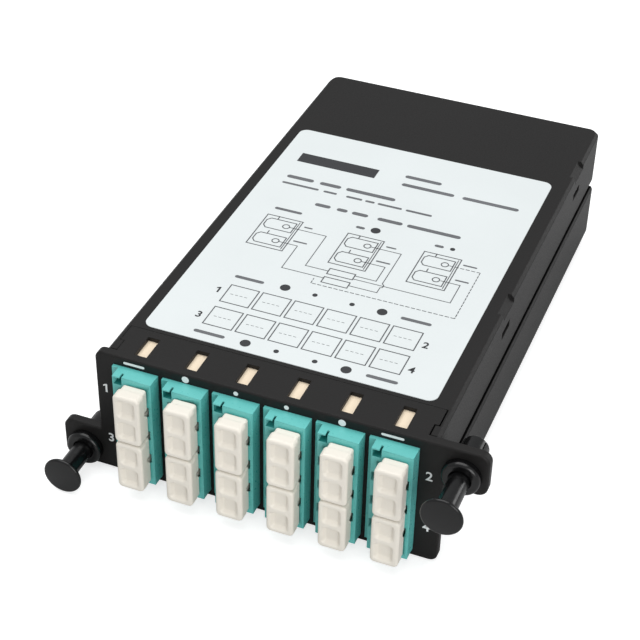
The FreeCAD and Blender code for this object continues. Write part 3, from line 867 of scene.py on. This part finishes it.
def draw_wiring(mesh, place):
    """The two couplers and the wires that join them to the ports."""
    for low in COUPLER_LOWS:
        ribbon(mesh, rectangle(*COUPLER_ACROSS, low, low + COUPLER_TALL), LINE, place, closed=True)
    for wire in WIRES:
        ribbon(mesh, wire, THIN, place)
    for start, end in zip(DASHED_WIRE, DASHED_WIRE[1:]):
        for piece in dashes(start, end, *WIRE_DASH):
            ribbon(mesh, piece, THIN, place)


def draw_dots(mesh, place):
    for up in DOT_ROWS:
        for side in (-1, 1):
            for middle, reach, radius in DOT_PAIRS:
                flat_prism(mesh, circle(middle + side * reach, up, radius), place)
    for x, up, radius in LONE_DOTS:
        flat_prism(mesh, circle(x, up, radius), place)


def make_label_print():
    low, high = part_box("label")

    def place(u, v, height):
        return Vector((u * MM, low.y + v * MM, high.z + INK_LIFT + height))

    marks = bmesh.new()
    draw_dots(marks, place)
    flat_prism(marks, rectangle(*MARK_BLOCK), place)
    mesh_piece("label_print", marks, BLACK_INK)
    lines = bmesh.new()
    draw_cells(lines, place)
    draw_port_pairs(lines, place)
    draw_wiring(lines, place)
    mesh_piece("label_lines", lines, LINE_INK)
    bars = bmesh.new()
    for y, height, words in LABEL_WORDS:
        for x0, x1 in words:
            flat_prism(bars, word_bar(x0, x1, y, height), place)
    mesh_piece("label_words", bars, GREY_INK)
    for text, u, v in LABEL_FIGURES:
        matrix = Matrix.Translation(place(u, v, INK_DEPTH / 2))
        numeral("label_figure_" + text, text, LABEL_FIGURE_TALL * MM, matrix, BLACK_INK)


# ---------------------------------------------------------------- face plate marks

# Places are across from the plate's middle and up from the ground.
PLATE_FIGURES = (("1", -38.1, 23.5), ("2", 37.4, 23.9), ("3", -37.8, 9.0), ("4", 37.6, 9.4))
PLATE_FIGURE_TALL = 2.3
PLATE_DOTS = ((-18.5, 0.85), (-6.6, 0.55), (5.1, 0.55), (17.7, 0.85))
PLATE_DOT_UP = 32.1
PLATE_WORDS = ((-33.4, -28.3), (26.4, 31.5))
PLATE_WORD_UP = 31.55
PLATE_WORD_TALL = 1.15


def make_plate_marks():
    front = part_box("front_bezel")[0].y

    def place(u, v, height):
        return Vector((u * MM, front - INK_LIFT - height, v * MM))

    marks = bmesh.new()
    for x, radius in PLATE_DOTS:
        flat_prism(marks, circle(x, PLATE_DOT_UP, radius), place)
    for x0, x1 in PLATE_WORDS:
        flat_prism(marks, word_bar(x0, x1, PLATE_WORD_UP, PLATE_WORD_TALL), place)
    mesh_piece("plate_marks", marks, WHITE_INK)
    upright = Matrix.Rotation(math.radians(90), 4, "X")
    for text, u, v in PLATE_FIGURES:
        matrix = Matrix.Translation(place(u, v, INK_DEPTH / 2)) @ upright
        numeral("plate_figure_" + text, text, PLATE_FIGURE_TALL * MM, matrix, WHITE_INK)


# ---------------------------------------------------------------- stage

# Lengths and places here are in metres, powers in watts.
FLOOR_REACH = 3.0
FLOOR_DROP = 0.0002
FLOOR_GREY = 0.60
FLOOR_GLOW = 0.66
FLOOR_ROUGHNESS = 0.9
SKY_TINT = (0.97, 0.985, 1.0)
SKY_STRENGTH = 0.55
# Each lamp: its name, place, size and power. All of them face the object's middle.
LAMPS = (
    ("overhead", (-0.12, 0.02, 0.78), (0.8, 0.8), 4.45),
    ("right_rim", (0.75, 0.90, 0.36), (0.5, 0.4), 1.8),
    ("front_fill", (0.62, -0.72, 0.40), (0.6, 0.6), 3.8),
)
CAMERA_PLACE = (0.1054, -0.3042, 0.25305)
CAMERA_AZIMUTH = math.radians(21.036)
CAMERA_ELEVATION = math.radians(37.009)
CAMERA_ROLL = math.radians(1.343)
CAMERA_CLIP = 0.01
# The lens and the sensor's width, in mm.
CAMERA_LENS = 91.31
CAMERA_SENSOR = 36.0


def make_floor():
    """A pale floor that takes shadows and that the camera sees as nearly white."""
    data = bpy.data.meshes.new("floor")
    corners = rectangle(-FLOOR_REACH, FLOOR_REACH, -FLOOR_REACH, FLOOR_REACH)
    data.from_pydata([(x, y, 0.0) for x, y in corners], [], [(0, 1, 2, 3)])
    floor = link_object("floor", data)
    floor.location.z = cad_box[0][2] - FLOOR_DROP
    material, tree, shader = new_material("floor_paper")
    shader.inputs["Base Color"].default_value = (FLOOR_GREY, FLOOR_GREY, FLOOR_GREY, 1.0)
    shader.inputs["Roughness"].default_value = FLOOR_ROUGHNESS
    shader.inputs["Specular IOR Level"].default_value = 0.0
    output = tree.nodes["Material Output"]
    path = tree.nodes.new("ShaderNodeLightPath")
    glow = tree.nodes.new("ShaderNodeEmission")
    tree.links.new(path.outputs["Is Camera Ray"], glow.inputs["Strength"])
    glow.inputs["Color"].default_value = (FLOOR_GLOW, FLOOR_GLOW, FLOOR_GLOW, 1.0)
    total = tree.nodes.new("ShaderNodeAddShader")
    tree.links.new(shader.outputs["BSDF"], total.inputs[0])
    tree.links.new(glow.outputs["Emission"], total.inputs[1])
    tree.links.new(total.outputs["Shader"], output.inputs["Surface"])
    data.materials.append(material)


def make_world():
    """Soft light from all round, in front of which the camera sees white."""
    world = bpy.data.worlds.new("studio")
    bpy.context.scene.world = world
    world.use_nodes = True
    tree = world.node_tree
    tree.nodes.clear()
    path = tree.nodes.new("ShaderNodeLightPath")
    seen = tree.nodes.new("ShaderNodeBackground")
    seen.inputs["Color"].default_value = (1.0, 1.0, 1.0, 1.0)
    seen.inputs["Strength"].default_value = 1.0
    lighting = tree.nodes.new("ShaderNodeBackground")
    lighting.inputs["Color"].default_value = (*SKY_TINT, 1.0)
    lighting.inputs["Strength"].default_value = SKY_STRENGTH
    mix = tree.nodes.new("ShaderNodeMixShader")
    output = tree.nodes.new("ShaderNodeOutputWorld")
    tree.links.new(path.outputs["Is Camera Ray"], mix.inputs[0])
    tree.links.new(lighting.outputs["Background"], mix.inputs[1])
    tree.links.new(seen.outputs["Background"], mix.inputs[2])
    tree.links.new(mix.outputs["Shader"], output.inputs["Surface"])


def make_lamps():
    for name, place, size, power in LAMPS:
        data = bpy.data.lights.new(name, "AREA")
        data.shape = "RECTANGLE"
        data.size, data.size_y = size
        data.energy = power
        lamp = link_object(name, data)
        lamp.location = place
        lamp.rotation_euler = (-Vector(place)).to_track_quat("-Z", "Y").to_euler()


def make_camera():
    data = bpy.data.cameras.new("camera")
    data.sensor_width = CAMERA_SENSOR
    data.lens = CAMERA_LENS
    data.clip_start = CAMERA_CLIP
    camera = link_object("camera", data)
    bpy.context.scene.camera = camera
    turn = Matrix.Rotation(CAMERA_AZIMUTH, 4, "Z")
    tip = Matrix.Rotation(math.pi / 2 - CAMERA_ELEVATION, 4, "X")
    roll = Matrix.Rotation(CAMERA_ROLL, 4, "Z")
    camera.matrix_world = Matrix.Translation(CAMERA_PLACE) @ turn @ tip @ roll


finish_nodes()
make_small_forms()
make_cover_form()
# Strips of painted shade in the gap between the cover and the tray.
make_ledge_painted_shades()
make_label_print()
make_plate_marks()
make_floor()
make_world()
make_lamps()
make_camera()
bpy.context.scene.view_settings.view_transform = "Standard"
